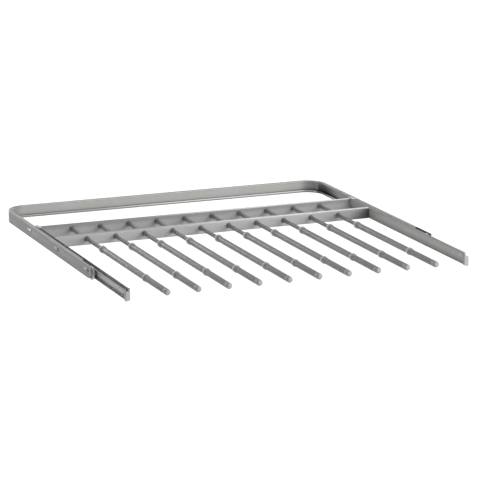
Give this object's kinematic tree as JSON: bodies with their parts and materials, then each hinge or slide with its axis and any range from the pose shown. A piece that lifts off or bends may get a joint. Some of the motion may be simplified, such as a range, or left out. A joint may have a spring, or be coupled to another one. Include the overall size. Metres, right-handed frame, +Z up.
{
  "type": "pull-out trouser hanger",
  "caption": "Pull-out trouser hanger: a U-shaped channel frame with rollers, and a sliding carriage of two rails, two crossbars and a row of sleeved rods.",
  "frame": {"origin": "middle of the back bar's outer face, at half its height", "axes": "+Y out of the back face into the wardrobe's back wall, -Y the way the carriage pulls out, +X to the right, +Z up"},
  "size_m": [0.712, 0.746, 0.0289],
  "materials": {
    "frame": "satin grey paint",
    "rail": "satin grey paint",
    "crossbar": "satin grey paint",
    "rod": "dull grey",
    "sleeve": "soft grey",
    "ring": "satin grey",
    "roller": "satin light grey",
    "axle": "turned",
    "cap": "satin light grey"
  },
  "bodies": {
    "frame": {"u_frame": "frame", "front_axle_left": "axle", "front_axle_right": "axle"},
    "carriage": {"rail_left": "rail", "rear_axle_left": "axle", "front_cap_left": "cap", "rear_cap_left": "cap", "rail_right": "rail", "rear_axle_right": "axle", "front_cap_right": "cap", "rear_cap_right": "cap", "front_crossbar": "crossbar", "rear_crossbar": "crossbar", "rod_01": "rod", "sleeve_01": "sleeve", "rear_ring_01": "ring", "front_ring_01": "ring", "rod_02": "rod", "sleeve_02": "sleeve", "rear_ring_02": "ring", "front_ring_02": "ring", "rod_03": "rod", "sleeve_03": "sleeve", "rear_ring_03": "ring", "front_ring_03": "ring", "rod_04": "rod", "sleeve_04": "sleeve", "rear_ring_04": "ring", "front_ring_04": "ring", "rod_05": "rod", "sleeve_05": "sleeve", "rear_ring_05": "ring", "front_ring_05": "ring", "rod_06": "rod", "sleeve_06": "sleeve", "rear_ring_06": "ring", "front_ring_06": "ring", "rod_07": "rod", "sleeve_07": "sleeve", "rear_ring_07": "ring", "front_ring_07": "ring", "rod_08": "rod", "sleeve_08": "sleeve", "rear_ring_08": "ring", "front_ring_08": "ring", "rod_09": "rod", "sleeve_09": "sleeve", "rear_ring_09": "ring", "front_ring_09": "ring", "rod_10": "rod", "sleeve_10": "sleeve", "rear_ring_10": "ring", "front_ring_10": "ring"},
    "front_roller_left": {"front_roller_left": "roller"},
    "front_roller_right": {"front_roller_right": "roller"},
    "rear_roller_left": {"rear_roller_left": "roller"},
    "rear_roller_right": {"rear_roller_right": "roller"}
  },
  "joints": [
    {"name": "carriage_slide", "type": "slide", "parent": "frame", "child": "carriage", "axis": [0, -1, 0], "range_m": [-0.15, 0.235]},
    {"name": "front_roller_left_spin", "type": "hinge", "parent": "frame", "child": "front_roller_left", "pos_m": [-0.3481, -0.541, -0.0016], "axis": [1, 0, 0], "continuous": true},
    {"name": "front_roller_right_spin", "type": "hinge", "parent": "frame", "child": "front_roller_right", "pos_m": [0.3481, -0.541, -0.0016], "axis": [1, 0, 0], "continuous": true},
    {"name": "rear_roller_left_spin", "type": "hinge", "parent": "carriage", "child": "rear_roller_left", "pos_m": [-0.3481, -0.243, 0], "axis": [1, 0, 0], "continuous": true},
    {"name": "rear_roller_right_spin", "type": "hinge", "parent": "carriage", "child": "rear_roller_right", "pos_m": [0.3481, -0.243, 0], "axis": [1, 0, 0], "continuous": true}
  ],
  "couplings": [
    {"joint": "front_roller_left_spin", "follows": "carriage_slide", "rad_per_m": 128.21},
    {"joint": "front_roller_right_spin", "follows": "carriage_slide", "rad_per_m": 128.21},
    {"joint": "rear_roller_left_spin", "follows": "carriage_slide", "rad_per_m": 86.207},
    {"joint": "rear_roller_right_spin", "follows": "carriage_slide", "rad_per_m": 86.207}
  ]
}
